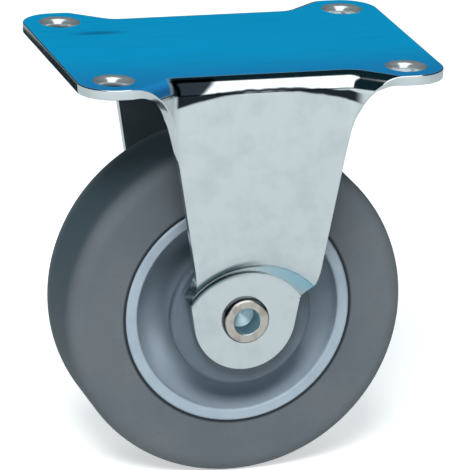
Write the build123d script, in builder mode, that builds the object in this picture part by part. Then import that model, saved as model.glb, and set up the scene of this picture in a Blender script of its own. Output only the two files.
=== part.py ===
"""Fixed castor: a pressed steel bracket with a top plate, and a rubber-tyred wheel on a riveted axle.

Frame: X is the rolling direction, Y runs along the axle, Z points up. The origin is the centre of
the plate's top face, which is the face that bolts to the underside of a trolley. Millimetres.
"""
import os
from math import acos, atan2, cos, hypot, radians, sin, tan

from build123d import *

os.makedirs("parts", exist_ok=True)

# Driving dimensions of the bracket, one pressed piece of zinc plated sheet
sheet = 3.0  # thickness of the steel
plate_length = 107.5  # along X
plate_width = 82.0  # along Y
plate_corner_r = 10.0
axle_drop = 76.0  # from the mounting face down to the axle
ear_reach = 5.25  # how far the plate's edge stands out past the outside face of a leg
bend_r = 2.0  # inside radius where the plate turns down into a leg
bend_length = 48.4  # straight part of the bend line, along X above a leg
ear_sweep_r = 9.5  # plan radius of the bend line where it turns out towards a corner ear
ear_turn = 40.0  # degrees that the bend line turns out at each end
ear_droop = 44.0  # degrees that an ear's edge is bent down where it becomes a leg's side
tab_r = 15.2  # round lower end of each leg, about the axle
leg_overrun = 3.75  # how far a leg is wider than the straight bend, at each end of it
leg_flare_drop = 15.0  # from the mounting face down to where a leg's side starts to curve out
edge_break = 0.4  # softened edges of the bearing's steel pieces

# Driving dimensions of the step that brings each leg in to the hub
step_top_r = 26.5  # arc of the upper crease
step_low_r = 20.3  # arc of the lower crease
step_centre_drop = 6.0  # both arcs are struck from a point this far under the axle
top_crease_r = 4.5  # inside bend of the upper crease, which is a soft one
low_crease_r = 1.6  # inside bend of the lower crease, which is sharp

# Driving dimensions of the plate's holes
bolt_margin_x = 10.75  # from the plate's short edge to the centre of a hole
bolt_margin_y = 10.0  # from the plate's long edge
bolt_hole_d = 9.0  # passes an 8 mm bolt
bolt_sink_d = 12.0  # rounded-in mouth of each hole on the mounting face

# Driving dimensions of the wheel
wheel_d = 100.0
tyre_width = 31.0
tread_width = 22.5  # flat part of the tread
core_d = 67.0  # outside of the plastic core
core_width = 32.0
ring_wall = 3.4  # width of the light ring at the core's edge
ring_edge_r = 0.7
web = 7.0  # thickness of the disc between ring and hub
dish_outer_r = 9.5  # hollow curve from the ring down to the web
dish_inner_r = 6.0  # hollow curve from the web out to the hub
hub_d = 26.0
key_depth = 1.5  # groove that locks the tyre on the core
key_width = 14.0
key_slope = 2.0

# Driving dimensions of the axle and its bearing
spacer_length = 41.0  # tube that holds the two legs apart
spacer_d = 12.0
rivet_d = 10.0
rivet_head_d = 13.8
rivet_head_h = 2.0  # height of the rolled rim over the leg
rim_roll_r = 1.3  # rounded outside of that rim
cup_lip_r = 0.5  # rounded mouth of the cup
cup_d = 7.6  # hollow in each end of the rivet
cup_depth = 7.0
cup_point_h = 2.2  # cone at the bottom of the cup
roller_d = 3.9
roller_count = 10
cage_end_wall = 3.0  # plastic past each end of a roller
washer_d = 20.0
washer_t = 1.0
cap_d = 42.0  # round cover seen behind each leg's end
cap_t = 1.5
cap_edge_r = 1.2
cap_bore_d = 14.0
collar_wall = 1.5  # collar of the cover, round the hub
collar_length = 4.0

# Clearances
rivet_fit = 0.05  # radial, rivet in the tube and in the legs
roll_fit = 0.05  # radial, between a roller and each of its two tracks
cage_fit = 0.25  # radial, between the cage and both tracks
pocket_fit = 0.1  # radial, round a roller in its pocket
pocket_end_fit = 0.15  # at each end of a roller
washer_fit = 0.05  # radial, washer on the tube
side_play = 0.3  # between the turning cover and the still washer
cage_play = 0.7  # between each end of the cage and the cover

# Sizes that follow from those above
bend_out_r = bend_r + sheet
leg_out = plate_width / 2 - ear_reach
tab_in = spacer_length / 2
tab_out = tab_in + sheet
bend_start = leg_out - bend_out_r
step_z = -axle_drop - step_centre_drop
cap_face = tab_in - washer_t - side_play
hub_half = cap_face - cap_t
cage_length = 2 * (hub_half - cage_play)
roller_length = cage_length - 2 * cage_end_wall
pitch_r = spacer_d / 2 + roll_fit + roller_d / 2
bore_r = pitch_r + roller_d / 2 + roll_fit
axle_axis = Axis((0, 0, -axle_drop), (0, 1, 0))
side_plane = Plane((0, 0, -axle_drop), x_dir=(0, 1, 0), z_dir=(1, 0, 0))
front_plane = Plane((0, 0, 0), x_dir=(1, 0, 0), z_dir=(0, -1, 0))
axle_plane = Plane((0, 0, -axle_drop), x_dir=(1, 0, 0), z_dir=(0, 1, 0))


# Bend line in plan: it ends at strip_y, past the plate's edge, and crosses that edge at edge_x
turn = radians(ear_turn)
turn_x = bend_length / 2 + ear_sweep_r * tan(turn / 2)
edge_x = turn_x + (plate_width / 2 - bend_start) / tan(turn)
strip_y = plate_width / 2 + sheet
strip_x = turn_x + (strip_y - bend_start) / tan(turn)

# Point in front view where the drooping edge of an ear becomes the side of a leg
droop = radians(ear_droop)
ear_x = edge_x - bend_out_r * sin(droop) / sin(turn)
ear_z = -bend_out_r * (1 - cos(droop))


def leg_side():
    """Side of a leg in front view: from the round end, which it touches, up to its flare."""
    shoulder_x = bend_length / 2 + leg_overrun
    rise = axle_drop - bend_out_r
    lean = acos(tab_r / hypot(shoulder_x, rise)) - atan2(rise, shoulder_x)
    low_x = tab_r * cos(lean)
    low_z = -axle_drop - tab_r * sin(lean)
    top_x = low_x - (low_z + leg_flare_drop) * tan(lean)
    return (low_x, low_z), (top_x, -leg_flare_drop)


# Bracket
# One half is modelled, with the leg on the +Y side, and mirrored at the end.
# The bend along the plate's long edge is a swept strip. Its line is straight over the leg and turns
# outwards at both ends, so the sheet is drawn smoothly from the leg into the flat corner ears.
leg_join_z = step_z + step_top_r + 4 * sheet
with BuildLine() as strip_path:
    FilletPolyline(
        (-strip_x, strip_y),
        (-turn_x, bend_start),
        (turn_x, bend_start),
        (strip_x, strip_y),
        radius=ear_sweep_r,
    )

# Section of the strip: the bend, and the flat of the leg below it
strip_start = Plane(strip_path.line @ 0, x_dir=(sin(turn), cos(turn), 0), z_dir=strip_path.line % 0)
with BuildSketch(strip_start) as strip_section:
    with BuildLine():
        Line((0, -sheet), (0, 0))
        RadiusArc((0, 0), (bend_out_r, -bend_out_r), bend_out_r)
        Line((bend_out_r, -bend_out_r), (bend_out_r, leg_join_z))
        Line((bend_out_r, leg_join_z), (bend_r, leg_join_z))
        Line((bend_r, leg_join_z), (bend_r, -bend_out_r))
        RadiusArc((bend_r, -bend_out_r), (0, -sheet), -bend_r)
    make_face()

# Plan of the whole plate, and of its flat part, which ends at the line where the strip begins
with BuildSketch() as blank_plan:
    RectangleRounded(plate_length, plate_width, plate_corner_r)
with BuildSketch() as plate_plan:
    add(blank_plan.sketch)
    Rectangle(plate_length, plate_width, align=(Align.CENTER, Align.MIN), mode=Mode.INTERSECT)
    with BuildLine():
        add(strip_path.line)
        Line((strip_x, strip_y), (-strip_x, strip_y))
    make_face(mode=Mode.SUBTRACT)

# Front view of the outside of the pressing: a leg's sides curve out into the ears
with BuildSketch(front_plane) as pressing_front:
    with BuildLine():
        low, flare_start = leg_side()
        side_line = Line(low, flare_start)
        TangentArc(flare_start, (ear_x, ear_z), tangent=side_line % 1)
        Polyline(
            (ear_x, ear_z),
            (ear_x, -sheet),
            (plate_length / 2, -sheet),
            (plate_length / 2, 0),
            (0, 0),
            (0, -axle_drop),
            low,
        )
    make_face()
    mirror(about=Plane.YZ)
    with Locations((0, -axle_drop)):
        Circle(tab_r)

# Section of a leg's lower end, turned about a line parallel to the axle: flat leg, step, flat tab
with BuildSketch(Plane((0, 0, step_z), x_dir=(0, 1, 0), z_dir=(1, 0, 0))) as step_section:
    with BuildLine():
        FilletPolyline(
            (leg_out, 2 * step_top_r),
            (leg_out, step_top_r),
            (tab_out, step_low_r),
            (tab_out, 0),
            radius=(top_crease_r + sheet, low_crease_r),
        )
        offset(amount=sheet, side=Side.RIGHT, closed=True)
    make_face()

# Form of one leg with its bend, trimmed on its outside to the front view and to the plan
with BuildPart() as leg_form:
    sweep(strip_section.sketch, path=strip_path.wires()[0])
    revolve(step_section.sketch, axis=Axis((0, 0, step_z), (0, 1, 0)))
    extrude(pressing_front.sketch, amount=plate_width, both=True, mode=Mode.INTERSECT)
    extrude(blank_plan.sketch, amount=-2 * axle_drop, mode=Mode.INTERSECT)
    outward = leg_form.faces().filter_by(lambda f: f.normal_at(f.center()).Y > 0.1)
    outside = outward.filter_by(lambda f: f.center().Y < plate_width / 2 - 0.01)

# The sheet is built inwards from that outside, so its cut edges are square to it everywhere
with BuildPart() as bracket:
    extrude(plate_plan.sketch, amount=-sheet)
    thicken(outside, amount=-sheet)
    mirror(about=Plane.XZ)
    with GridLocations(plate_length - 2 * bolt_margin_x, plate_width - 2 * bolt_margin_y, 2, 2):
        CounterSinkHole(bolt_hole_d / 2, bolt_sink_d / 2, depth=sheet, counter_sink_angle=90)
    with BuildSketch(axle_plane):
        Circle(rivet_d / 2 + rivet_fit)
    extrude(amount=plate_width, both=True, mode=Mode.SUBTRACT)
bracket.part.label = "bracket"
export_step(bracket.part, "parts/bracket.step")

# Axle rivet
# A solid pin with cupped ends. Each end is rolled over outside the leg into a rounded rim.
rivet_end = tab_out + rivet_head_h
with BuildSketch(side_plane) as rivet_section:
    with BuildLine():
        Polyline(
            (0, 0),
            (0, rivet_d / 2),
            (tab_out, rivet_d / 2),
            (tab_out, rivet_head_d / 2),
            (rivet_end, rivet_head_d / 2),
            (rivet_end, cup_d / 2),
            (rivet_end - cup_depth, cup_d / 2),
            (rivet_end - cup_depth - cup_point_h, 0),
            close=True,
        )
    make_face()
    end_corners = rivet_section.vertices().group_by(Axis.X)[-1].sort_by(Axis.Y)
    fillet(end_corners[-1], rim_roll_r)
    fillet(rivet_section.vertices().group_by(Axis.X)[-1].sort_by(Axis.Y)[0], cup_lip_r)
with BuildPart() as axle_rivet:
    revolve(rivet_section.sketch, axis=axle_axis)
    mirror(about=Plane.XZ)
axle_rivet.part.label = "axle_rivet"
export_step(axle_rivet.part, "parts/axle_rivet.step")

# Spacer tube
# The rivet clamps the legs against its ends, so the wheel stays free to turn between them.
with BuildPart() as axle_spacer:
    with BuildSketch(axle_plane):
        Circle(spacer_d / 2)
        Circle(rivet_d / 2 + rivet_fit, mode=Mode.SUBTRACT)
    extrude(amount=spacer_length / 2, both=True)
    chamfer(axle_spacer.edges().filter_by(GeomType.CIRCLE).sort_by(SortBy.RADIUS)[-2:], edge_break)
axle_spacer.part.label = "axle_spacer"
export_step(axle_spacer.part, "parts/axle_spacer.step")

# Wheel core
# One moulding: the ring that carries the tyre, a web in a deep hollow on each side, and the hub.
with BuildSketch(side_plane) as core_section:
    with Locations((0, core_d / 2)):
        Rectangle(core_width, ring_wall, align=(Align.CENTER, Align.MAX))
    with Locations((0, bore_r)):
        Rectangle(web, core_d / 2 - ring_wall / 2 - bore_r, align=(Align.CENTER, Align.MIN))
        Rectangle(2 * hub_half, hub_d / 2 - bore_r, align=(Align.CENTER, Align.MIN))
    ring_inner = core_d / 2 - ring_wall
    deep = core_section.vertices().filter_by(lambda v: abs(abs(v.X) - web / 2) < 0.01)
    fillet(deep.filter_by(lambda v: abs(v.Y - ring_inner) < 0.01), dish_outer_r)
    deep = core_section.vertices().filter_by(lambda v: abs(abs(v.X) - web / 2) < 0.01)
    fillet(deep.filter_by(lambda v: abs(v.Y - hub_d / 2) < 0.01), dish_inner_r)
    faces_of_ring = core_section.vertices().filter_by(lambda v: abs(abs(v.X) - core_width / 2) < 0.01)
    fillet(faces_of_ring, ring_edge_r)

# Key between tyre and core, a ring of dovetail shape in the core's outside
with BuildSketch(side_plane) as key_section:
    with BuildLine():
        Polyline(
            (-key_width / 2, core_d / 2),
            (-key_width / 2 + key_slope, core_d / 2 - key_depth),
            (key_width / 2 - key_slope, core_d / 2 - key_depth),
            (key_width / 2, core_d / 2),
            close=True,
        )
    make_face()
with BuildPart() as wheel_core:
    revolve(core_section.sketch, axis=axle_axis)
    revolve(key_section.sketch, axis=axle_axis, mode=Mode.SUBTRACT)
wheel_core.part.label = "wheel_core"
export_step(wheel_core.part, "parts/wheel_core.step")

# Tyre
# Soft grey rubber moulded on the core, with a flat tread and large rounded shoulders.
with BuildSketch(side_plane) as tyre_section:
    with Locations((0, core_d / 2)):
        Rectangle(tyre_width, (wheel_d - core_d) / 2, align=(Align.CENTER, Align.MIN))
    fillet(tyre_section.vertices().group_by(Axis.Y)[-1], (tyre_width - tread_width) / 2)
with BuildPart() as tyre:
    revolve(tyre_section.sketch, axis=axle_axis)
    revolve(key_section.sketch, axis=axle_axis)
tyre.part.label = "tyre"
export_step(tyre.part, "parts/tyre.step")

# Dust caps
# A round cover with a collar is pressed on each end of the hub and turns with the wheel.
with BuildSketch(side_plane) as cap_section:
    with Locations((hub_half, cap_bore_d / 2)):
        Rectangle(cap_t, (cap_d - cap_bore_d) / 2, align=(Align.MIN, Align.MIN))
    with Locations((hub_half, hub_d / 2)):
        Rectangle(collar_length, collar_wall, align=(Align.MAX, Align.MIN))
    with Locations((hub_half, cap_d / 2)):
        Rectangle(cap_t, cap_t, align=(Align.MAX, Align.MAX))
    fillet(cap_section.vertices().group_by(Axis.X)[-1].sort_by(Axis.Y)[-1], cap_edge_r)
with BuildPart() as dust_cap_rear:
    revolve(cap_section.sketch, axis=axle_axis)
dust_cap_rear.part.label = "dust_cap_rear"
export_step(dust_cap_rear.part, "parts/dust_cap_rear.step")
with BuildPart() as dust_cap_front:
    add(dust_cap_rear.part.mirror(Plane.XZ))
dust_cap_front.part.label = "dust_cap_front"
export_step(dust_cap_front.part, "parts/dust_cap_front.step")

# Side washers
# A steel washer on the spacer tube lies against the inside of each leg.
for name, side in (("side_washer_front", -1), ("side_washer_rear", 1)):
    with BuildPart() as side_washer:
        with BuildSketch(axle_plane.offset(side * tab_in)):
            Circle(washer_d / 2)
            Circle(spacer_d / 2 + washer_fit, mode=Mode.SUBTRACT)
        extrude(amount=-side * washer_t)
    side_washer.part.label = name
    export_step(side_washer.part, f"parts/{name}.step")

# Roller cage
# A plastic sleeve that keeps the rollers apart, in the gap between spacer tube and hub.
with BuildPart() as roller_cage:
    with BuildSketch(axle_plane):
        Circle(bore_r - cage_fit)
        Circle(spacer_d / 2 + cage_fit, mode=Mode.SUBTRACT)
    extrude(amount=cage_length / 2, both=True)
    with BuildSketch(axle_plane):
        with PolarLocations(pitch_r, roller_count):
            Circle(roller_d / 2 + pocket_fit)
    extrude(amount=roller_length / 2 + pocket_end_fit, both=True, mode=Mode.SUBTRACT)
roller_cage.part.label = "roller_cage"
export_step(roller_cage.part, "parts/roller_cage.step")

# Rollers
# Plain steel pins that run on the spacer tube and in the bore of the core.
for number, spot in enumerate(PolarLocations(pitch_r, roller_count).local_locations, start=1):
    with BuildPart() as roller:
        with BuildSketch(axle_plane):
            with Locations(spot):
                Circle(roller_d / 2)
        extrude(amount=roller_length / 2, both=True)
        chamfer(roller.edges().filter_by(GeomType.CIRCLE), edge_break)
    roller.part.label = f"roller_{number:02d}"
    export_step(roller.part, f"parts/roller_{number:02d}.step")
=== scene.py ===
"""Looks of the fixed castor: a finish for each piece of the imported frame, and a studio round it.

Frame: X is the rolling direction, Y runs along the axle, Z points up, metres. The origin is the
centre of the plate's top face. The photograph's camera stands in front, which is -Y, and a little
to the -X side. The finishes give their sizes in millimetres of the same frame. Two sizes in one
field are mostly the two ends of a soft edge: where the thing stops, then where it is whole.
"""

import logging
import math
from dataclasses import dataclass
from enum import Enum

import bpy
from mathutils import Matrix, Vector

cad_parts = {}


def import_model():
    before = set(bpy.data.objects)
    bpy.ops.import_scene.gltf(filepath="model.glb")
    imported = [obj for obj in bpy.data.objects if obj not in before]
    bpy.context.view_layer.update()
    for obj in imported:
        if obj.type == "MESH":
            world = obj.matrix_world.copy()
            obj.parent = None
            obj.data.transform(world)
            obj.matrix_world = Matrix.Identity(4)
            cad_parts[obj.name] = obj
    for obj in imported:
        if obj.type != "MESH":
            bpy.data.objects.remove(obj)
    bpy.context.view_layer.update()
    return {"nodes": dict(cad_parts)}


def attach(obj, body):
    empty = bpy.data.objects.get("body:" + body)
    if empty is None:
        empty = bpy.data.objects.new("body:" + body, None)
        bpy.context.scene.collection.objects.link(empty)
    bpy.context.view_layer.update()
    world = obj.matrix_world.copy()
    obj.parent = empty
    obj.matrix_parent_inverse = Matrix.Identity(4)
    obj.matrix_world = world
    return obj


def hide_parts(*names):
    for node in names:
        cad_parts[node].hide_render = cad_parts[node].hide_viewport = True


Tree = bpy.types.NodeTree
Node = bpy.types.Node
Socket = bpy.types.NodeSocket
Axes = bpy.types.NodeOutputs
Pair = tuple[float, float]
Vec3 = tuple[float, float, float]
Feed = Node | Socket | float | tuple
Colour = str | Node

LOG = logging.getLogger("castor")
MM = 0.001
AXLE_DROP = 76.0  # mm from the plate's upper face down to the axle
WHITE = "#FFFFFF"
FACTOR, FROM, TO = 0, 6, 7  # sockets of a colour mix, whose names stand for other sockets too


class Side(Enum):
    """Which side of the wheel a small piece is on, as its node's name ends."""

    FRONT = "front"
    REAR = "rear"


class Hand(Enum):
    """A side of the castor as the camera in front sees it, by the sign of X there."""

    LEFT = -1
    RIGHT = 1


class Coat(Enum):
    """How smooth a plastic moulding comes out of its tool, as the roughness of its skin."""

    SATIN = 0.34
    FINE_MATT = 0.42


class Polish(Enum):
    """How smooth a steel piece is, as the roughness of its skin."""

    GROUND = 0.14
    TURNED = 0.22


def linear(code: str) -> tuple[float, float, float, float]:
    """Turns an sRGB colour into the linear values that shaders take.

    Args:
        code: the colour, as # and six hex digits.

    Returns:
        Red, green, blue, and an alpha of 1.
    """
    values = (int(code[start:start + 2], 16) / 255 for start in (1, 3, 5))
    red, green, blue = (
        value / 12.92 if value <= 0.04045 else ((value + 0.055) / 1.055) ** 2.4 for value in values
    )
    return red, green, blue, 1.0


def feed(node: Node, inputs: dict[str | int, Feed]) -> None:
    """Sets or links inputs of a node.

    Args:
        node: the node.
        inputs: socket names or numbers, each with a value, or the output or node that feeds it.
    """
    for key, value in inputs.items():
        if isinstance(value, Node):
            value = next(output for output in value.outputs if output.enabled)
        if isinstance(value, Socket):
            node.id_data.links.new(value, node.inputs[key])
        else:
            node.inputs[key].default_value = value


def add_node(tree: Tree, kind: str, inputs: dict | None = None, **settings: str) -> Node:
    """Adds a node to a tree with its inputs and its settings.

    Args:
        tree: the node tree.
        kind: the node's type name, without the ShaderNode that it starts with.
        inputs: the inputs, as feed takes them.
        **settings: attributes of the node and their values.

    Returns:
        The node.
    """
    node = tree.nodes.new(f"ShaderNode{kind}")
    for name, value in settings.items():
        setattr(node, name, value)
    feed(node, inputs or {})
    return node


def within(
    tree: Tree, zones: list[tuple[Feed, float, float]], share: Feed = 1.0, unit: float = MM
) -> Node:
    """Says how much of a share is left inside some soft-edged zones.

    Args:
        tree: the node tree.
        zones: for each zone a value, then what it is where the zone ends and where it is whole.
        share: the share where all the zones are whole.
        unit: the unit of the zones' limits.

    Returns:
        The share that is left, down to 0 outside any of the zones.
    """
    for value, end, whole in zones:
        step = add_node(
            tree,
            "MapRange",
            {"Value": value, "From Min": end * unit, "From Max": whole * unit},
            interpolation_type="SMOOTHSTEP",
        )
        share = add_node(tree, "Math", {0: step, 1: share}, operation="MULTIPLY")
    return share


def paint(tree: Tree, base: Colour, coats: list[tuple[Feed, Colour]]) -> Node:
    """Lays colours over a base, one after the other.

    Args:
        tree: the node tree.
        base: the colour to start from, as an sRGB code or a node.
        coats: for each coat its share, then its colour as an sRGB code or a node.

    Returns:
        The node that gives the painted colour.
    """
    for share, coat in coats:
        under, over = (linear(tint) if isinstance(tint, str) else tint for tint in (base, coat))
        base = add_node(tree, "Mix", {FACTOR: share, FROM: under, TO: over}, data_type="RGBA")
    return base


def start_material(name: str) -> tuple[bpy.types.Material, Tree, Node]:
    """Makes an empty material with its shader and output.

    Args:
        name: the material's name.

    Returns:
        The material, its tree and its Principled shader.
    """
    material = bpy.data.materials.new(name)
    material.use_nodes = True
    tree = material.node_tree
    tree.nodes.clear()
    shader = add_node(tree, "BsdfPrincipled")
    add_node(tree, "OutputMaterial", {"Surface": shader})
    return material, tree, shader


def cover(shader: Node, height: Node, relief: Pair, inputs: dict[str, Feed]) -> None:
    """Feeds a shader, and gives its surface a fine relief.

    Args:
        shader: the material's shader.
        height: the pattern of the relief.
        relief: its strength, and its depth in millimetres.
        inputs: the shader's other inputs, as feed takes them.
    """
    strength, depth = relief
    bump = add_node(
        shader.id_data, "Bump", {"Strength": strength, "Distance": depth * MM, "Height": height}
    )
    feed(shader, {**inputs, "Normal": bump})


def from_axle(tree: Tree, at: Socket) -> Node:
    """Gives a point's distance from the axle's line, which runs along Y.

    Args:
        tree: the material's tree.
        at: the point's place on the object.

    Returns:
        The distance in metres.
    """
    centred = add_node(tree, "VectorMath", {0: at, 1: (0.0, 0.0, AXLE_DROP * MM)}, operation="ADD")
    across = add_node(tree, "VectorMath", {0: centred, 1: (1.0, 0.0, 1.0)}, operation="MULTIPLY")
    return add_node(tree, "VectorMath", {0: across}, operation="LENGTH")


def wear(piece: bpy.types.Object, material: bpy.types.Material) -> None:
    """Puts one material on a piece, in place of what it has, and reports it.

    Args:
        piece: the piece.
        material: its finish.
    """
    piece.data.materials.clear()
    piece.data.materials.append(material)
    LOG.info("%s wears %s", piece.name, material.name)


@dataclass(frozen=True)
class Pattern:
    """A cloudy pattern of one size, such as mottling, flow marks or specks."""

    size: float  # how far apart its marks are
    detail: float
    edge: Pair = (0.0, 1.0)  # its noise where a mark ends and where it is whole
    most: float = 1.0  # the share of a mark where it is whole
    roughness: float = 0.5
    distortion: float = 0.0

    def inputs(self, at: Feed) -> dict[str, Feed]:
        """Gives the inputs of the noise that the pattern is made of.

        Args:
            at: a point's place on the object.

        Returns:
            The inputs, as feed takes them.
        """
        return {
            "Vector": at,
            "Scale": 1 / (self.size * MM),
            "Detail": self.detail,
            "Roughness": self.roughness,
            "Distortion": self.distortion,
        }

    def marks(self, noise: Node) -> Node:
        """Gives the share of the pattern's marks in its noise."""
        return within(noise.id_data, [(noise, *self.edge)], self.most, 1.0)


@dataclass(frozen=True)
class BlueFilm:
    """The thin film on the zinc of the bolting face: an even, saturated blue, rubbed along X, under
    painted shade.

    It stops where the sheet starts to bend down into a leg, and runs on down the drawn ears at -X,
    where its blue is partly a painted reflection.
    """

    colour: str = "#00A3DA"
    # painted shade: the film darker towards the front edge
    front: str = "#1C84C0"
    ear_shade_and_smudge: str = "#16426F"  # painted shade where the film turns down over an ear, and the smudge's colour
    streak: str = "#0684B6"
    face: Pair = (-0.06, -0.02)  # along Z, just under the plate's face
    ear_start: Pair = (-26.5, -28.5)  # along X, where the film starts to run down an ear
    ear_end: Pair = (-41.0, -40.0)  # along X, where the ear is flat again
    ear_foot: Pair = (-9.0, -7.0)  # along Z, how far down an ear it runs
    ear_up: Pair = (0.30, 0.40)  # how far the skin of an ear faces up there
    front_shade_edge: Pair = (-4.1, -41.0)  # along Y, where the painted front shade starts and where it is full
    streaks: Pattern = Pattern(1.6, 4.0, (0.50, 0.80), 0.6)  # scuffs, drawn wider than they are
    streak_length: float = 30.0
    smudge_centre: Pair = (-35.0, 17.5)
    smudge_half: Pair = (11.0, 2.6)  # half its length and width
    smudge_edge: Pair = (1.0, 0.2)  # in parts of those
    smudge_share: float = 0.55
    ear_shade_up: Pair = (1.0, 0.6)  # how far the skin faces up where the painted shade starts to show
    ear_shade_share: float = 0.7

    def extent(self, tree: Tree, xyz: Axes, up: Socket) -> Node:
        """Says where the film is: on the flat face, and down the skin of the two ears at -X, where
        it is partly a painted reflection.

        Args:
            tree: the material's tree.
            xyz: the outputs that give a point's X, Y and Z.
            up: how far the surface there faces up.

        Returns:
            The film's share.
        """
        flat = within(tree, [(xyz["Z"], *self.face)])
        skin = within(tree, [(up, *self.ear_up)], unit=1.0)
        zones = [(xyz["X"], *self.ear_start), (xyz["X"], *self.ear_end), (xyz["Z"], *self.ear_foot)]
        return add_node(tree, "Math", {0: flat, 1: within(tree, zones, skin)}, operation="MAXIMUM")

    def tint(self, tree: Tree, at: Socket, xyz: Axes, up: Socket) -> Node:
        """Colours the film: painted shade deeper to the front and deepest where an ear turns down,
        with rubbed marks and a smudge.

        Args:
            tree: the material's tree.
            at: a point's place on the object.
            xyz: the outputs that give its X, Y and Z.
            up: how far the surface there faces up.

        Returns:
            The film's colour.
        """
        # painted shade, growing towards the front edge
        front = within(tree, [(xyz["Y"], *self.front_shade_edge)])
        squeeze = self.streaks.size / self.streak_length
        along = add_node(tree, "Mapping", {"Vector": at, "Scale": (squeeze, 1.0, squeeze)})
        streaks = add_node(tree, "TexNoise", self.streaks.inputs(along))
        # One rubbed smudge near a corner hole
        centre = (*(value * MM for value in self.smudge_centre), 0.0)
        half = (*(value * MM for value in self.smudge_half), 1.0)
        box = {"Vector": at, "Location": centre, "Scale": half}
        moved = add_node(tree, "Mapping", box, vector_type="TEXTURE")
        apart = add_node(tree, "VectorMath", {0: moved}, operation="LENGTH")
        smudge = within(tree, [(apart, *self.smudge_edge)], self.smudge_share, 1.0)
        # painted shade where the skin turns away from up
        ear_shade = within(tree, [(up, *self.ear_shade_up)], self.ear_shade_share, 1.0)
        return paint(tree, self.colour, [
            (front, self.front),
            (self.streaks.marks(streaks), self.streak),
            (smudge, self.ear_shade_and_smudge),
            (ear_shade, self.ear_shade_and_smudge),
        ])


@dataclass(frozen=True)
class PaintedBendReflection:
    """A painted dark reflection along the foot of each bend.

    It is an arch that drops to both ends, with a slightly ragged edge. Distances along a bend count
    from its middle, and are positive to the left as seen from outside the leg.
    """

    colour: str = "#141C24"
    most: float = 0.985
    skin: float = 34.0  # the bend's skin, from the middle plane
    head: float = 3.2  # how deep under the plate's face its upper edge is, at the middle
    foot: float = 4.5  # the same for its lower edge
    head_drop: float = 0.0028  # how fast the upper edge drops to both ends, per mm squared
    foot_drop: float = 0.0058
    head_edge: Pair = (-0.3, 0.3)
    foot_edge: Pair = (0.0, 0.8)
    wide_edge: Pair = (11.7, 14.3)  # along the bend, where the mark widens up to the plate's face
    wide_lean: float = 1.5  # how far that edge leans outwards on its way down
    face: Pair = (-0.1, -0.5)  # along Z, under the plate's face
    left_end: Pair = (28.0, 26.6)  # along the bend
    right_end: Pair = (-33.0, -28.0)
    outside: Pair = (24.0, 25.0)  # from the middle plane, so the plate's underside stays clean
    ragged: Pattern = Pattern(4.0, 2.0)
    ragged_by: float = 0.8  # how far its edge wanders in all

    def draw(self, tree: Tree, at: Socket, xyz: Axes, base: Node) -> Node:
        """Lays the painted reflection over a colour.

        Args:
            tree: the material's tree.
            at: a point's place on the object.
            xyz: the outputs that give its X, Y and Z.
            base: the colour to start from.

        Returns:
            The marked colour.
        """
        ragged = add_node(tree, "TexNoise", self.ragged.inputs(at))
        sway = {0: ragged, 1: self.ragged_by * MM, 2: -self.ragged_by / 2 * MM}
        wobble = add_node(tree, "Math", sway, operation="MULTIPLY_ADD")
        depth = add_node(tree, "Math", {0: wobble, 1: xyz["Z"]}, operation="SUBTRACT")
        square = add_node(tree, "Math", {0: xyz["X"], 1: xyz["X"]}, operation="MULTIPLY")
        foot, head = (
            add_node(tree, "Math", {0: square, 1: drop / MM, 2: low * MM}, operation="MULTIPLY_ADD")
            for drop, low in ((self.foot_drop, self.foot), (self.head_drop, self.head))
        )
        over_foot = add_node(tree, "Math", {0: foot, 1: depth}, operation="SUBTRACT")
        under_head = add_node(tree, "Math", {0: depth, 1: head}, operation="SUBTRACT")
        turned = add_node(tree, "Math", {0: xyz["X"], 1: xyz["Y"]}, operation="MULTIPLY")
        along = add_node(tree, "Math", {0: turned, 1: self.skin * MM}, operation="DIVIDE")
        lean = add_node(
            tree, "Math", {0: depth, 1: -self.wide_lean, 2: along}, operation="MULTIPLY_ADD"
        )
        out = add_node(tree, "Math", {0: xyz["Y"]}, operation="ABSOLUTE")
        band = within(tree, [(under_head, *self.head_edge)], self.most)
        wide = within(tree, [(lean, *self.wide_edge)], self.most)
        share = add_node(tree, "Math", {0: band, 1: wide}, operation="MAXIMUM")
        zones = [
            (over_foot, *self.foot_edge),
            (xyz["Z"], *self.face),
            (along, *self.left_end),
            (along, *self.right_end),
            (out, *self.outside),
        ]
        return paint(tree, base, [(within(tree, zones, share), self.colour)])


@dataclass(frozen=True)
class PaintedStepReflection:
    """A painted reflection on one side of each leg's step, along an arc round a centre under the
    axle.
    """

    colour: str
    radius: float  # of the arc
    half: float  # half its width
    hand: Hand  # the side that it is on
    most: float  # its share where it is whole
    height: Pair  # over the arc's centre
    whole: float = 0.4  # the part of its width where it is whole
    side: Pair = (-4.0, 9.0)  # from the middle of the leg towards the mark's side
    centre_drop: float = AXLE_DROP + 6.0  # the arc's centre, under the plate's face

    def draw(self, tree: Tree, xyz: Axes, base: Node) -> Node:
        """Lays the painted reflection over a colour.

        Args:
            tree: the material's tree.
            xyz: the outputs that give a point's X, Y and Z.
            base: the colour to start from.

        Returns:
            The marked colour.
        """
        rise = add_node(tree, "Math", {0: xyz["Z"], 1: self.centre_drop * MM}, operation="ADD")
        spot = add_node(tree, "CombineXYZ", {"X": xyz["X"], "Y": rise})
        away = add_node(tree, "VectorMath", {0: spot}, operation="LENGTH")
        off = add_node(tree, "Math", {0: away, 1: self.radius * MM}, operation="SUBTRACT")
        off = add_node(tree, "Math", {0: off}, operation="ABSOLUTE")
        zones = [
            (off, self.half, self.whole * self.half),
            (xyz["X"], *(self.hand.value * edge for edge in self.side)),
            (rise, *self.height),
        ]
        return paint(tree, base, [(within(tree, zones, self.most), self.colour)])


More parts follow.
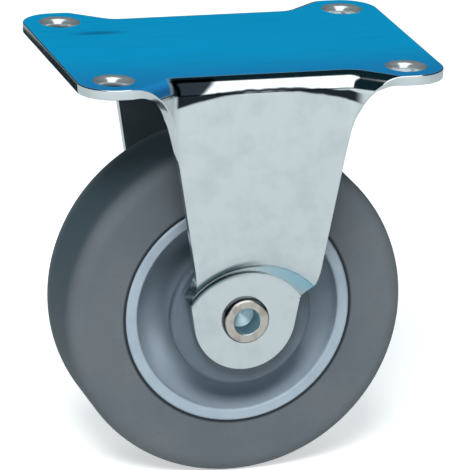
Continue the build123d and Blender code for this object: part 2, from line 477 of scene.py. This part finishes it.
@dataclass(frozen=True)
class ZincPlatedSheet:
    """Cold rolled steel sheet, bright zinc plated after pressing, with a blue film on its face.

    To the eye it is a pale, slightly bluish metal, smooth enough to show the studio in its bends,
    with faint cloudy patches on the flats. The cut walls of its holes are matt, so they hold a soft
    and even light. Painted reflections darken the foot of each bend and mark the legs' steps.
    """

    name: str = "zinc_plated_sheet_blue_film"
    zinc: str = "#D0D8DA"
    zinc_dull: str = "#C6CFD2"
    patches: Pattern = Pattern(9.0, 5.0, (0.42, 0.66), roughness=0.6)  # cloudiness of the plating
    grain: Pattern = Pattern(1.0, 3.0)  # rolled grain; the real one is finer than a pixel
    relief: Pair = (0.05, 0.05)
    rough: float = 0.12
    dull_rough: float = 0.02  # what the dull patches add to it
    film_rough: float = 0.20  # what the film adds to it
    mouth_rough: float = 0.20
    mouth_shine: float = 0.70  # how metallic the holes' cut walls look
    bolt: Pair = (43.0, 31.0)  # X and Y of a bolt hole's centre
    bolt_mouth: float = 6.0  # radius of the hole's bare mouth
    film: BlueFilm = BlueFilm()
    # painted dark reflection along the foot of each bend
    bend: PaintedBendReflection = PaintedBendReflection()
    step_reflections: tuple[PaintedStepReflection, ...] = (
        PaintedStepReflection("#A6DCEE", 23.3, 3.2, Hand.RIGHT, 0.85, (10.0, 19.0)),  # painted reflection, pale blue on the slope
        PaintedStepReflection("#1F4A50", 25.6, 2.6, Hand.LEFT, 0.95, (0.0, 6.0)),  # painted dark reflection along the upper crease
        PaintedStepReflection("#1F4A50", 21.0, 2.3, Hand.LEFT, 0.95, (0.0, 6.0)),  # painted dark reflection along the lower crease
    )

    def build(self) -> bpy.types.Material:
        """Makes the material.

        Returns:
            The material.
        """
        material, tree, shader = start_material(self.name)
        place = add_node(tree, "TexCoord").outputs
        at = place["Object"]
        xyz = add_node(tree, "SeparateXYZ", {0: at}).outputs
        up = add_node(tree, "SeparateXYZ", {0: place["Normal"]}).outputs["Z"]
        clear = self.find_mouths(tree, at)
        film = self.film.extent(tree, xyz, up)
        film = add_node(tree, "Math", {0: film, 1: clear}, operation="MULTIPLY")
        dull = self.patches.marks(add_node(tree, "TexNoise", self.patches.inputs(at)))
        colour = paint(tree, self.zinc, [(dull, self.zinc_dull)])
        # painted reflections on the legs' steps
        for mark in self.step_reflections:
            colour = mark.draw(tree, xyz, colour)
        # painted dark reflection along the foot of each bend
        colour = self.bend.draw(tree, at, xyz, colour)
        colour = paint(tree, colour, [(film, self.film.tint(tree, at, xyz, up))])
        bare = add_node(tree, "Math", {0: 1.0, 1: film}, operation="SUBTRACT")
        bright = {0: clear, 1: 1 - self.mouth_shine, 2: self.mouth_shine}
        shine = add_node(tree, "Math", bright, operation="MULTIPLY_ADD")
        rough = self.rough
        for share, more in ((dull, self.dull_rough), (film, self.film_rough)):
            rough = add_node(tree, "Math", {0: share, 1: more, 2: rough}, operation="MULTIPLY_ADD")
        rough = add_node(tree, "Mix", {"Factor": clear, "A": self.mouth_rough, "B": rough})
        cover(shader, add_node(tree, "TexNoise", self.grain.inputs(at)), self.relief, {
            "Base Color": colour,
            "Metallic": add_node(tree, "Math", {0: bare, 1: shine}, operation="MULTIPLY"),
            "Roughness": rough,
        })
        return material

    def find_mouths(self, tree: Tree, at: Socket) -> Node:
        """Tells the four bolt holes, with their bevelled mouths, from the rest of the sheet.

        Args:
            tree: the material's tree.
            at: a point's place on the object.

        Returns:
            0 in the holes, 1 elsewhere.
        """
        hole = (*(value * MM for value in self.bolt), 0.0)
        side = add_node(tree, "VectorMath", {0: at}, operation="ABSOLUTE")
        apart = add_node(tree, "VectorMath", {0: side, 1: hole}, operation="SUBTRACT")
        level = add_node(tree, "VectorMath", {0: apart, 1: (1.0, 1.0, 0.0)}, operation="MULTIPLY")
        away = add_node(tree, "VectorMath", {0: level}, operation="LENGTH")
        return add_node(tree, "Math", {0: away, 1: self.bolt_mouth * MM}, operation="GREATER_THAN")


@dataclass(frozen=True)
class PlainSteel:
    """Bare steel of one colour: bright and even if ground, a little softer if turned."""

    name: str
    colour: str
    dark: str
    polish: Polish
    mottle: Pattern = Pattern(1.6, 4.0, (0.40, 0.65))  # stains of handling and oil
    mottle_rough: float = 0.10  # what the mottling adds to the roughness
    relief: Pair = (0.12, 0.06)

    def build(self) -> bpy.types.Material:
        """Makes the material.

        Returns:
            The material.
        """
        material, tree, shader = start_material(self.name)
        at = add_node(tree, "TexCoord").outputs["Object"]
        mottle = add_node(tree, "TexNoise", self.mottle.inputs(at))
        share = self.mottle.marks(mottle)
        rough = {0: share, 1: self.mottle_rough, 2: self.polish.value}
        cover(shader, mottle, self.relief, {
            "Base Color": paint(tree, self.colour, [(share, self.dark)]),
            "Metallic": 1.0,
            "Roughness": add_node(tree, "Math", rough, operation="MULTIPLY_ADD"),
        })
        return material


@dataclass(frozen=True)
class RivetSteel:
    """Cold headed soft steel: the rolled rim is warm grey and worn, the cup cool and dull.

    A painted contact shadow rings the rim's foot, and the cup has a painted highlight in its
    middle over painted shade on its wall.
    """

    name: str = "cold_headed_steel_rivet"
    rim: str = "#C4BFB8"
    worn: str = "#ABA39B"
    # painted highlight in the middle of the cup
    cup: str = "#D4E6EC"
    # painted shade on the cup's wall round the highlight
    cup_wall_shade: str = "#B4CDD5"
    # painted contact shadow where the rim meets the sheet
    foot: str = "#3B4246"
    foot_edge: Pair = (6.25, 6.6)  # radius, painted contact shadow where the rim meets the sheet
    cup_edge: Pair = (4.2, 3.9)  # radius, where the rim ends and the cup begins
    cup_highlight: Pair = (3.4, 2.0)  # radius, the cup's painted highlight in its middle
    mottle: Pattern = Pattern(2.4, 3.0, (0.42, 0.68))  # worn spots, as wide as the rim
    rim_rough: float = 0.22
    cup_rough: float = 0.42
    relief: Pair = (0.06, 0.05)

    def build(self) -> bpy.types.Material:
        """Makes the material.

        Returns:
            The material.
        """
        material, tree, shader = start_material(self.name)
        at = add_node(tree, "TexCoord").outputs["Object"]
        radius = from_axle(tree, at)
        mottle = add_node(tree, "TexNoise", self.mottle.inputs(at))
        # painted contact shadow round the rim's foot
        rim_contact_shadow = within(tree, [(radius, *self.foot_edge)])
        rim = paint(tree, self.rim, [(self.mottle.marks(mottle), self.worn), (rim_contact_shadow, self.foot)])
        # painted highlight in the cup's middle, over painted shade on its wall
        floor = within(tree, [(radius, *self.cup_highlight)])
        cup = paint(tree, self.cup_wall_shade, [(floor, self.cup)])
        inside = within(tree, [(radius, *self.cup_edge)])
        rough = {0: inside, 1: self.cup_rough - self.rim_rough, 2: self.rim_rough}
        cover(shader, mottle, self.relief, {
            "Base Color": paint(tree, rim, [(inside, cup)]),
            "Metallic": 1.0,
            "Roughness": add_node(tree, "Math", rough, operation="MULTIPLY_ADD"),
        })
        return material


@dataclass(frozen=True)
class MouldedPlastic:
    """Injection moulded plastic: an even colour with a soft sheen and a faint pattern of flow."""

    name: str
    colour: str
    dark: str
    coat: Coat
    hub_shade: str = ""  # painted shade round the hub, darkening the dish there
    hub: Pair = (25.5, 19.0)  # radius of that tone
    flow: Pattern = Pattern(16.0, 4.0, (0.40, 0.70), distortion=0.8)  # as wide as the core's dish
    flow_rough: float = 0.06  # what the flow pattern adds to the roughness
    grain: Pattern = Pattern(0.6, 2.0)  # spark finish of the tool, drawn coarser than it is
    relief: Pair = (0.08, 0.05)

    def build(self) -> bpy.types.Material:
        """Makes the material.

        Returns:
            The material.
        """
        material, tree, shader = start_material(self.name)
        at = add_node(tree, "TexCoord").outputs["Object"]
        flow = self.flow.marks(add_node(tree, "TexNoise", self.flow.inputs(at)))
        colour = paint(tree, self.colour, [(flow, self.dark)])
        # painted shade round the hub
        if self.hub_shade:
            hub = within(tree, [(from_axle(tree, at), *self.hub)])
            colour = paint(tree, colour, [(hub, self.hub_shade)])
        rough = {0: flow, 1: self.flow_rough, 2: self.coat.value}
        cover(shader, add_node(tree, "TexNoise", self.grain.inputs(at)), self.relief, {
            "Base Color": colour,
            "Roughness": add_node(tree, "Math", rough, operation="MULTIPLY_ADD"),
        })
        return material


@dataclass(frozen=True)
class MouldedRubber:
    """Grey non-marking rubber, moulded on the core: matt, with fine specks, a trace of dust, and
    painted shade on its tread.
    """

    name: str = "moulded_grey_rubber"
    colour: str = "#5E656B"
    dusty: str = "#666C71"
    dark: str = "#51585E"
    # painted shade on the tread
    tread_shade: str = "#3F4E56"
    joint: str = "#23292E"
    dust: Pattern = Pattern(22.0, 6.0, (0.35, 0.70))  # dusty patches
    specks: Pattern = Pattern(1.1, 2.0, (0.62, 0.75), 0.5)  # specks of filler
    tread_shade_edge: Pair = (14.5, 7.0)  # from the middle plane, painted shade on the tread
    joint_edge: Pair = (34.7, 34.0)  # radius, the dark line where rubber and core meet
    roughness: float = 0.62
    specular: float = 0.3
    relief: Pair = (0.15, 0.08)

    def build(self) -> bpy.types.Material:
        """Makes the material.

        Returns:
            The material.
        """
        material, tree, shader = start_material(self.name)
        at = add_node(tree, "TexCoord").outputs["Object"]
        dust = add_node(tree, "TexNoise", self.dust.inputs(at))
        specks = add_node(tree, "TexNoise", self.specks.inputs(at))
        xyz = add_node(tree, "SeparateXYZ", {0: at}).outputs
        aside = add_node(tree, "Math", {0: xyz["Y"]}, operation="ABSOLUTE")
        colour = paint(tree, self.colour, [
            (self.dust.marks(dust), self.dusty),
            (self.specks.marks(specks), self.dark),
            # painted shade on the tread
            (within(tree, [(aside, *self.tread_shade_edge)]), self.tread_shade),
            (within(tree, [(from_axle(tree, at), *self.joint_edge)]), self.joint),
        ])
        cover(shader, specks, self.relief, {
            "Base Color": colour,
            "Roughness": self.roughness,
            "Specular IOR Level": self.specular,
        })
        return material


@dataclass
class Bracket:
    """The pressed bracket: plate, four ears and two stepped legs in one sheet, edges blunted."""

    nodes: dict[str, bpy.types.Object]
    edge_round: float = 0.35  # mm, the blunted edge that pressing and barrel plating leave
    segments: int = 2
    merge: float = 0.02  # mm, points closer than this are one
    flat_degrees: float = 0.8  # triangles flatter than this to each other are one face again
    sharp_degrees: float = 50.0  # an edge sharper than this is a cut edge
    flat_weight: int = 100  # how far the shading keeps to the large faces
    finish: ZincPlatedSheet = ZincPlatedSheet()

    def build(self) -> bpy.types.Object:
        """Copies the bracket's sheet and blunts its cut edges.

        Returns:
            The new piece, in place of the bracket's node.
        """
        sheet = bpy.data.objects.new("pressed_bracket", self.nodes["bracket"].data.copy())
        bpy.context.scene.collection.objects.link(sheet)
        bpy.ops.object.select_all(action="DESELECT")
        sheet.select_set(True)
        bpy.context.view_layer.objects.active = sheet
        bpy.ops.mesh.customdata_custom_splitnormals_clear()
        bpy.ops.object.mode_set(mode="EDIT")
        bpy.ops.mesh.select_all(action="SELECT")
        bpy.ops.mesh.remove_doubles(threshold=self.merge * MM)
        bpy.ops.mesh.dissolve_limited(angle_limit=math.radians(self.flat_degrees))
        bpy.ops.object.mode_set(mode="OBJECT")
        bpy.ops.object.shade_smooth()
        bevel = sheet.modifiers.new("softened_edge", "BEVEL")
        bevel.width = self.edge_round * MM
        bevel.segments = self.segments
        bevel.limit_method = "ANGLE"
        bevel.angle_limit = math.radians(self.sharp_degrees)
        bevel.use_clamp_overlap = False
        bpy.ops.object.modifier_apply(modifier=bevel.name)
        flats = sheet.modifiers.new("true_flats", "WEIGHTED_NORMAL")
        flats.weight = self.flat_weight
        bpy.ops.object.modifier_apply(modifier=flats.name)
        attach(sheet, "frame")
        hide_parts("bracket")
        LOG.info("%s has %d faces", sheet.name, len(sheet.data.polygons))
        return sheet

    def dress(self, sheet: bpy.types.Object) -> None:
        """Puts the plated finish on the bracket."""
        wear(sheet, self.finish.build())


@dataclass
class Axle:
    """The riveted axle, the tube that spaces the legs, and the washer inside each leg."""

    nodes: dict[str, bpy.types.Object]
    rivet: RivetSteel = RivetSteel()
    # Turned steel, a shade duller than the rollers: the tool marks break up its highlights
    turned: PlainSteel = PlainSteel(
        "turned_steel_tube_and_washers", "#C3C7CB", "#A9AEB3", Polish.TURNED
    )

    def dress(self) -> None:
        """Puts a finish on each piece of the axle."""
        wear(self.nodes["axle_rivet"], self.rivet.build())
        turned = self.turned.build()
        wear(self.nodes["axle_spacer"], turned)
        for side in Side:
            wear(self.nodes[f"side_washer_{side.value}"], turned)


@dataclass
class Wheel:
    """The moulded core with its tyre and its two dust caps."""

    nodes: dict[str, bpy.types.Object]
    # Pale blue-grey polypropylene: a soft sheen on the ring, and painted shade round the hub
    core: MouldedPlastic = MouldedPlastic(
        "moulded_polypropylene_core", "#A3B1BD", "#98A6B3", Coat.SATIN, hub_shade="#6B7984"
    )
    # The dust caps are the core's plastic in a darker tone, painted shade for the shadow they sit
    # in behind the tabs, so the hub reads as a piece of its own
    cap: MouldedPlastic = MouldedPlastic(
        "moulded_polypropylene_cap_shaded", "#5B6873", "#515E69", Coat.SATIN
    )
    # Rubber takes no sheen at all: it stays an even mid grey from every side, but for painted shade
    # on its tread
    rubber: MouldedRubber = MouldedRubber()

    def dress(self) -> None:
        """Puts a finish on each piece of the wheel."""
        wear(self.nodes["wheel_core"], self.core.build())
        wear(self.nodes["tyre"], self.rubber.build())
        cap = self.cap.build()
        for side in Side:
            wear(self.nodes[f"dust_cap_{side.value}"], cap)


@dataclass
class RollerBearing:
    """The roller cage and its ten rollers, inside the hub."""

    nodes: dict[str, bpy.types.Object]
    rollers: int = 10
    # Black polyamide, fine matt, so that the bright rollers stand out in it
    cage: MouldedPlastic = MouldedPlastic(
        "moulded_polyamide_cage", "#2B2C2E", "#232426", Coat.FINE_MATT
    )
    # Ground bearing steel: the smoothest finish here, with sharp highlights along each roller
    steel: PlainSteel = PlainSteel("ground_bearing_steel", "#C7CACD", "#B0B4B8", Polish.GROUND)

    def dress(self) -> None:
        """Puts a finish on the cage and on each roller."""
        wear(self.nodes["roller_cage"], self.cage.build())
        steel = self.steel.build()
        for number in range(1, self.rollers + 1):
            wear(self.nodes[f"roller_{number:02d}"], steel)


@dataclass(frozen=True)
class Softbox:
    """A square soft lamp in front and above. Reflections show the tent in its place."""

    name: str = "softbox"
    spot: Vec3 = (-0.68, -1.70, 1.82)
    aim: Vec3 = (0.0, 0.0, -0.06)
    size: float = 1.05  # metres
    power: float = 63.0  # watts

    def hang(self) -> None:
        """Adds the lamp to the scene, turned to its aim."""
        data = bpy.data.lights.new(self.name, "AREA")
        data.shape = "SQUARE"
        data.size = self.size
        data.energy = self.power
        lamp = bpy.data.objects.new(self.name, data)
        lamp.location = self.spot
        way = Vector(self.aim) - Vector(self.spot)
        lamp.rotation_euler = way.to_track_quat("-Z", "Y").to_euler()
        lamp.visible_glossy = False
        bpy.context.scene.collection.objects.link(lamp)


@dataclass
class Studio:
    """Pale floor, a large soft lamp, and the camera, in metres and degrees.

    Reflections show a white tent over the front half of the room, and dark walls round the rest.
    """

    lamp: Softbox = Softbox()
    floor_z: float = -0.126
    floor_size: float = 12.0
    floor_tone: str = "#F4F5F5"
    floor_rough: float = 0.9
    floor_glow: float = 0.55  # for the camera only, keeps the ground white round the shadow
    target: Vec3 = (0.0, 0.0, -0.076)
    azimuth: float = 16.5
    elevation: float = 18.5
    roll: float = 1.8
    distance: float = 1.5
    clip: Pair = (0.05, 50.0)
    pixels_per_mm: float = 3.421
    frame_pixels: float = 470.0
    target_pixel: Pair = (223.0, 294.0)
    sensor_mm: float = 36.0
    wall: str = "#10282F"
    fill: str = "#DDF1F7"
    fill_strength: float = 0.30
    # The tent's edges, by the direction of a reflection: where it ends, then where it is whole
    tent_strength: float = 1.8
    tent_side: Pair = (0.50, 0.38)
    tent_back: Pair = (0.05, -0.05)
    tent_foot: Pair = (0.04, 0.10)
    # The patch of floor that the plate's left edge mirrors, dark to reflections like the walls
    patch_edges: tuple[tuple[str, float, float], ...] = (
        ("X", -0.09, -0.12),
        ("X", -0.26, -0.21),
        ("Y", 0.20, 0.27),
        ("Y", 0.52, 0.45),
    )

    def make_camera(self) -> None:
        """Places the camera at the photograph's angle and makes it the scene's."""
        turn, tilt, roll = (math.radians(v) for v in (self.azimuth, self.elevation, self.roll))
        look = Vector((
            math.sin(turn) * math.cos(tilt), math.cos(turn) * math.cos(tilt), -math.sin(tilt)
        ))
        level = look.cross(Vector((0, 0, 1))).normalized()
        upright = level.cross(look)
        right = level * math.cos(roll) + upright * math.sin(roll)
        up = upright * math.cos(roll) - level * math.sin(roll)
        target = Vector(self.target)
        spot = target - look * self.distance
        # The camera is turned so that the target comes out at its pixel
        across, down = (
            (self.frame_pixels / 2 - pixel) / self.pixels_per_mm * MM for pixel in self.target_pixel
        )
        aim = target + right * across - up * down
        view = (aim - spot).normalized()
        right = (right - view * right.dot(view)).normalized()
        up = right.cross(view)
        data = bpy.data.cameras.new("camera")
        data.sensor_width = self.sensor_mm
        data.lens = self.pixels_per_mm * self.distance / MM / self.frame_pixels * self.sensor_mm
        data.clip_start, data.clip_end = self.clip
        camera = bpy.data.objects.new("camera", data)
        camera.matrix_world = Matrix((
            (right.x, up.x, -view.x, spot.x),
            (right.y, up.y, -view.y, spot.y),
            (right.z, up.z, -view.z, spot.z),
            (0, 0, 0, 1),
        ))
        bpy.context.scene.collection.objects.link(camera)
        bpy.context.scene.camera = camera

    def make_world(self) -> None:
        """Makes a soft cool fill light, which is white to the camera and a tent to reflections."""
        world = bpy.data.worlds.new("studio")
        world.use_nodes = True
        bpy.context.scene.world = world
        tree = world.node_tree
        tree.nodes.clear()
        path = add_node(tree, "LightPath").outputs
        way = add_node(tree, "TexCoord").outputs["Generated"]
        xyz = add_node(tree, "SeparateXYZ", {0: way}).outputs
        aside = add_node(tree, "Math", {0: xyz["X"]}, operation="ABSOLUTE")
        zones = [(aside, *self.tent_side), (xyz["Y"], *self.tent_back), (xyz["Z"], *self.tent_foot)]
        tent = within(tree, zones, unit=1.0)
        room = paint(tree, self.wall, [(tent, WHITE)])
        bright = add_node(
            tree, "Math", {0: tent, 1: self.tent_strength - 1, 2: 1.0}, operation="MULTIPLY_ADD"
        )
        mirrored = add_node(tree, "Background", {"Color": room, "Strength": bright})
        fill = add_node(
            tree, "Background", {"Color": linear(self.fill), "Strength": self.fill_strength}
        )
        white = add_node(tree, "Background", {"Color": linear(WHITE)})
        glossy = add_node(tree, "MixShader", {0: path["Is Glossy Ray"], 1: fill, 2: mirrored})
        rays = {0: path["Is Camera Ray"], 1: path["Is Transmission Ray"]}
        seen = add_node(tree, "Math", rays, operation="MAXIMUM")
        sky = add_node(tree, "MixShader", {0: seen, 1: glossy, 2: white})
        add_node(tree, "OutputWorld", {"Surface": sky})

    def make_floor(self) -> None:
        """Makes a large pale floor that is white to the camera and keeps the castor's shadow."""
        bpy.ops.object.select_all(action="DESELECT")
        bpy.ops.mesh.primitive_plane_add(size=self.floor_size, location=(0, 0, self.floor_z))
        floor = bpy.context.object
        floor.name = "studio_floor"
        bpy.ops.object.transform_apply(location=True, rotation=False, scale=False)
        material, tree, shader = start_material("pale_floor")
        path = add_node(tree, "LightPath").outputs
        at = add_node(tree, "TexCoord").outputs["Object"]
        xyz = add_node(tree, "SeparateXYZ", {0: at}).outputs
        zones = [(xyz[axis], end, whole) for axis, end, whole in self.patch_edges]
        patch = within(tree, zones, path["Is Glossy Ray"], 1.0)
        glow = {0: path["Is Camera Ray"], 1: self.floor_glow}
        feed(shader, {
            "Base Color": paint(tree, self.floor_tone, [(patch, self.wall)]),
            "Roughness": self.floor_rough,
            "Specular IOR Level": 0.0,
            "Emission Color": linear(WHITE),
            "Emission Strength": add_node(tree, "Math", glow, operation="MULTIPLY"),
        })
        floor.data.materials.append(material)

    def build(self) -> None:
        """Builds the whole studio."""
        bpy.context.scene.view_settings.view_transform = "Standard"
        self.make_camera()
        self.make_world()
        self.make_floor()
        self.lamp.hang()
        LOG.info("studio ready")


def main() -> None:
    """Builds and dresses the castor's sub-assemblies in order, then its studio."""
    logging.basicConfig(level=logging.INFO, format="%(name)s: %(message)s")
    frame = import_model()
    nodes = frame["nodes"]
    bracket = Bracket(nodes)
    bracket.dress(bracket.build())
    Axle(nodes).dress()
    Wheel(nodes).dress()
    RollerBearing(nodes).dress()
    Studio().build()


if __name__ == "__main__":
    main()
